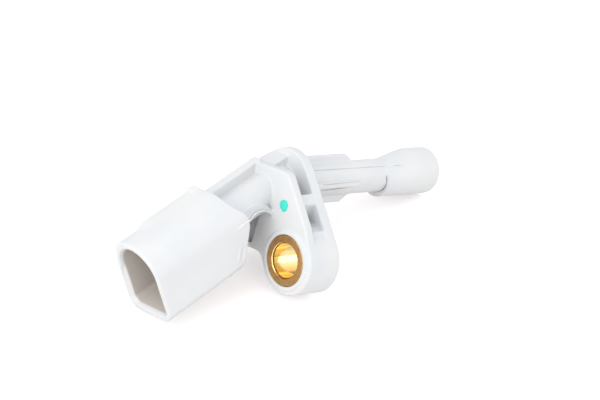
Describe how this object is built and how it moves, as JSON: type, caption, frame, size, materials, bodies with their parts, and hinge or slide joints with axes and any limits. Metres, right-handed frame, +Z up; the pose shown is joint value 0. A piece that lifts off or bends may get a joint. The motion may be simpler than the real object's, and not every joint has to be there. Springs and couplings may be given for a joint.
{
  "type": "wheel speed sensor",
  "caption": "Bent wheel speed sensor: moulded stem with sensing tip, ribbed flange with a brass bush, and an angled plug socket.",
  "frame": {"origin": "on the surface that the sensor lies on, under the middle of its bounding box", "axes": "+Z up, square to that surface; +X level, above the stem's line, towards the sensing tip; +Y level, to the left of the stem seen from the flange"},
  "size_m": [0.0794, 0.0276, 0.0221],
  "materials": {
    "moulding": "satin, as moulded, pale bluish grey",
    "bush_brass": "bright bore, dull ends",
    "paint": "dab of paint",
    "tinned_terminal": "tin plated",
    "black_resin": "matte moulded resin",
    "plate_steel": "plain",
    "magnet": "sintered, matte",
    "carrier_plastic": "matte"
  },
  "bodies": {
    "root": {"housing": "moulding", "compression_bush": "bush_brass", "inspection_dot": "paint", "terminal_supply": "tinned_terminal", "terminal_signal": "tinned_terminal", "chip_lead_supply": "tinned_terminal", "chip_lead_signal": "tinned_terminal", "sensing_chip": "black_resin", "capacitor_body": "black_resin", "flux_plate": "plate_steel", "bias_magnet": "magnet", "carrier": "carrier_plastic"}
  },
  "joints": []
}
